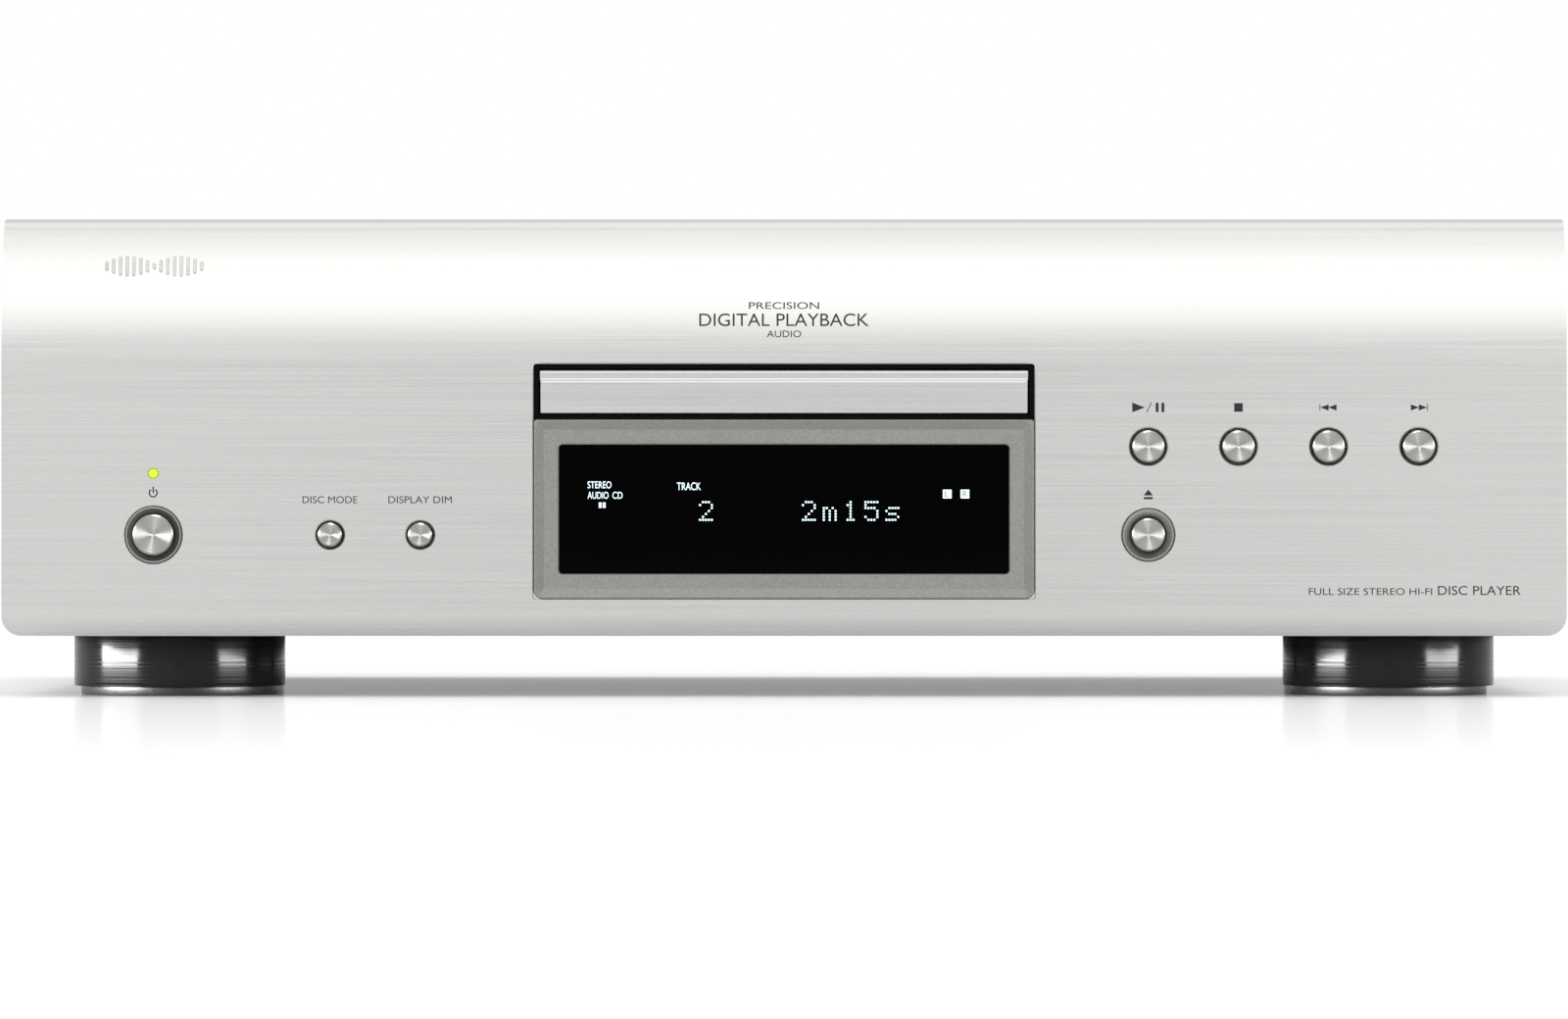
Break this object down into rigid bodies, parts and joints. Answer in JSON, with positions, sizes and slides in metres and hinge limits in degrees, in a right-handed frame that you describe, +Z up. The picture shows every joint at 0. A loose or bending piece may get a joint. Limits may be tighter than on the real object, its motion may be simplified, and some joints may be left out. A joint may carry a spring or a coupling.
{
  "type": "cd player",
  "caption": "Full-width hi-fi disc player with a brushed metal front, a motor-driven tray above a dark display window, round push buttons and round black feet.",
  "frame": {"origin": "on the surface the player stands on, under the centre of its bounding box", "axes": "+X to the right seen from the front, +Y to the rear, +Z up; the front panel faces -Y"},
  "size_m": [0.434, 0.33, 0.133],
  "materials": {
    "front_aluminium": "fine horizontal brushing, satin clear anodised",
    "turned_aluminium": "turned dish, satin anodised",
    "grey_aluminium": "fine blasted grey frame with polished bevels",
    "door_aluminium": "fine horizontal brushing with cut bright edges",
    "button_aluminium": "spun face with a bright cut rim",
    "silver_paint": "fine textured silver paint",
    "zinc_steel": "zinc plated sheet",
    "screw_steel": "nickel plated",
    "motor_steel": "drawn can",
    "core_iron": "varnished laminations",
    "black_abs": "fine moulded texture",
    "tray_abs": "fine moulded texture",
    "white_acetal": "smooth moulded",
    "smoked_acrylic": "polished, almost opaque",
    "display_glass": "evacuated glass tube",
    "lens_acrylic": "coated lens in a dark holder",
    "light_guide": "clear tinted light guide",
    "circuit_board": "solder resist",
    "foot_black": "turned satin black",
    "foot_rubber": "moulded rubber",
    "belt_rubber": "ground rubber",
    "brass_pulley": "turned",
    "sled_zinc": "die cast",
    "winding_tape": "polyester tape",
    "capacitor_sleeve": "shrink sleeve",
    "heat_sink_black": "black anodised",
    "phono_gold": "gold plated",
    "cable_vinyl": "flat cable"
  },
  "bodies": {
    "chassis": {"front_panel": "front_aluminium", "button_rings": "turned_aluminium", "tray_bezel": "black_abs", "display_bezel": "grey_aluminium", "display_window": "smoked_acrylic", "display_tube": "display_glass", "display_board": "circuit_board", "button_boards": "circuit_board", "tact_switches": "black_abs", "status_led": "light_guide", "front_subframe": "black_abs", "top_cover": "silver_paint", "base_pan": "zinc_steel", "rear_panel": "silver_paint", "foot_bodies": "foot_black", "foot_pads": "foot_rubber", "foot_screws": "screw_steel", "casing_screws": "screw_steel", "loader_base": "tray_abs", "standoffs": "screw_steel", "drive_belt": "belt_rubber", "loading_motor": "motor_steel", "clamp_bridge": "zinc_steel", "transformer_cores": "core_iron", "transformer_windings": "winding_tape", "capacitors": "capacitor_sleeve", "heat_sinks": "heat_sink_black", "phono_sockets": "phono_gold", "digital_jacks": "black_abs", "power_inlet": "black_abs", "flat_cables": "cable_vinyl", "power_board": "circuit_board", "audio_board": "circuit_board", "digital_board": "circuit_board"},
    "tray": {"tray_door": "door_aluminium", "disc_tray": "tray_abs"},
    "drive_gear_body": {"drive_gear": "white_acetal"},
    "belt_pulley_body": {"belt_pulley": "white_acetal"},
    "motor_pulley_body": {"motor_pulley": "brass_pulley"},
    "cam_slide_body": {"cam_slide": "white_acetal"},
    "traverse": {"traverse_frame": "tray_abs", "isolation_grommets": "belt_rubber", "mech_plate": "zinc_steel", "guide_rods": "screw_steel", "spindle_motor": "motor_steel", "sled_motor": "motor_steel"},
    "spindle": {"turntable": "black_abs"},
    "clamper": {"disc_clamper": "tray_abs"},
    "sled": {"pickup_sled": "sled_zinc"},
    "lens": {"objective_lens": "lens_acrylic"},
    "sled_gear_body": {"sled_gear": "white_acetal"},
    "sled_pinion_body": {"sled_pinion": "brass_pulley"},
    "power_button_body": {"power_button": "button_aluminium"},
    "mode_button_body": {"mode_button": "button_aluminium"},
    "dimmer_button_body": {"dimmer_button": "button_aluminium"},
    "play_button_body": {"play_button": "button_aluminium"},
    "stop_button_body": {"stop_button": "button_aluminium"},
    "previous_button_body": {"previous_button": "button_aluminium"},
    "next_button_body": {"next_button": "button_aluminium"},
    "eject_button_body": {"eject_button": "button_aluminium"}
  },
  "joints": [
    {"name": "tray_slide", "type": "slide", "parent": "chassis", "child": "tray", "axis": [0, -1, 0], "range_m": [0, 0.145]},
    {"name": "drive_gear_spin", "type": "hinge", "parent": "chassis", "child": "drive_gear_body", "pos_m": [-0.0448, -0.129, 0.05345], "axis": [0, 0, 1], "range_deg": [0, 866.4]},
    {"name": "belt_pulley_spin", "type": "hinge", "parent": "chassis", "child": "belt_pulley_body", "pos_m": [-0.028, -0.129, 0.05345], "axis": [0, 0, 1], "range_deg": [-2165.51, 0]},
    {"name": "motor_pulley_spin", "type": "hinge", "parent": "chassis", "child": "motor_pulley_body", "pos_m": [0.02, -0.129, 0.06095], "axis": [0, 0, 1], "range_deg": [-7937.88, 0]},
    {"name": "cam_slide_shift", "type": "slide", "parent": "chassis", "child": "cam_slide_body", "axis": [1, 0, 0], "range_m": [0, 0.016]},
    {"name": "traverse_tilt", "type": "hinge", "parent": "chassis", "child": "traverse", "pos_m": [0, 0.0115, 0.06455], "axis": [1, 0, 0], "range_deg": [0, 3.51]},
    {"name": "spindle_spin", "type": "hinge", "parent": "traverse", "child": "spindle", "pos_m": [0, -0.0835, 0.08565], "axis": [0, 0, 1], "continuous": true},
    {"name": "clamper_spin", "type": "hinge", "parent": "chassis", "child": "clamper", "pos_m": [0, -0.0835, 0.09395], "axis": [0, 0, 1], "continuous": true},
    {"name": "sled_slide", "type": "slide", "parent": "traverse", "child": "sled", "axis": [0, 1, 0], "range_m": [0, 0.034]},
    {"name": "sled_gear_spin", "type": "hinge", "parent": "traverse", "child": "sled_gear_body", "pos_m": [0.0265, -0.037, 0.06905], "axis": [0, 0, 1], "range_deg": [-488.01, 0]},
    {"name": "sled_pinion_spin", "type": "hinge", "parent": "traverse", "child": "sled_pinion_body", "pos_m": [0.03115, -0.02703, 0.06905], "axis": [0, 0, 1], "range_deg": [0, 1300.7]},
    {"name": "lens_focus", "type": "slide", "parent": "sled", "child": "lens", "axis": [0, 0, 1], "range_m": [-0.0005, 0.0005], "stiffness_N_per_m": 60},
    {"name": "power_press", "type": "slide", "parent": "chassis", "child": "power_button_body", "axis": [0, 1, 0], "range_m": [0, 0.001], "stiffness_N_per_m": 600, "springref_m": -0.001},
    {"name": "mode_press", "type": "slide", "parent": "chassis", "child": "mode_button_body", "axis": [0, 1, 0], "range_m": [0, 0.001], "stiffness_N_per_m": 600, "springref_m": -0.001},
    {"name": "dimmer_press", "type": "slide", "parent": "chassis", "child": "dimmer_button_body", "axis": [0, 1, 0], "range_m": [0, 0.001], "stiffness_N_per_m": 600, "springref_m": -0.001},
    {"name": "play_press", "type": "slide", "parent": "chassis", "child": "play_button_body", "axis": [0, 1, 0], "range_m": [0, 0.001], "stiffness_N_per_m": 600, "springref_m": -0.001},
    {"name": "stop_press", "type": "slide", "parent": "chassis", "child": "stop_button_body", "axis": [0, 1, 0], "range_m": [0, 0.001], "stiffness_N_per_m": 600, "springref_m": -0.001},
    {"name": "previous_press", "type": "slide", "parent": "chassis", "child": "previous_button_body", "axis": [0, 1, 0], "range_m": [0, 0.001], "stiffness_N_per_m": 600, "springref_m": -0.001},
    {"name": "next_press", "type": "slide", "parent": "chassis", "child": "next_button_body", "axis": [0, 1, 0], "range_m": [0, 0.001], "stiffness_N_per_m": 600, "springref_m": -0.001},
    {"name": "eject_press", "type": "slide", "parent": "chassis", "child": "eject_button_body", "axis": [0, 1, 0], "range_m": [0, 0.001], "stiffness_N_per_m": 600, "springref_m": -0.001}
  ],
  "couplings": [
    {"joint": "drive_gear_spin", "follows": "tray_slide", "rad_per_m": 104.17},
    {"joint": "belt_pulley_spin", "follows": "tray_slide", "rad_per_m": -260.42},
    {"joint": "motor_pulley_spin", "follows": "tray_slide", "rad_per_m": -954.86},
    {"joint": "traverse_tilt", "follows": "cam_slide_shift", "rad_per_m": 3.8179},
    {"joint": "clamper_spin", "follows": "spindle_spin", "ratio": 1},
    {"joint": "sled_gear_spin", "follows": "sled_slide", "rad_per_m": -250},
    {"joint": "sled_pinion_spin", "follows": "sled_slide", "rad_per_m": 666.67}
  ]
}
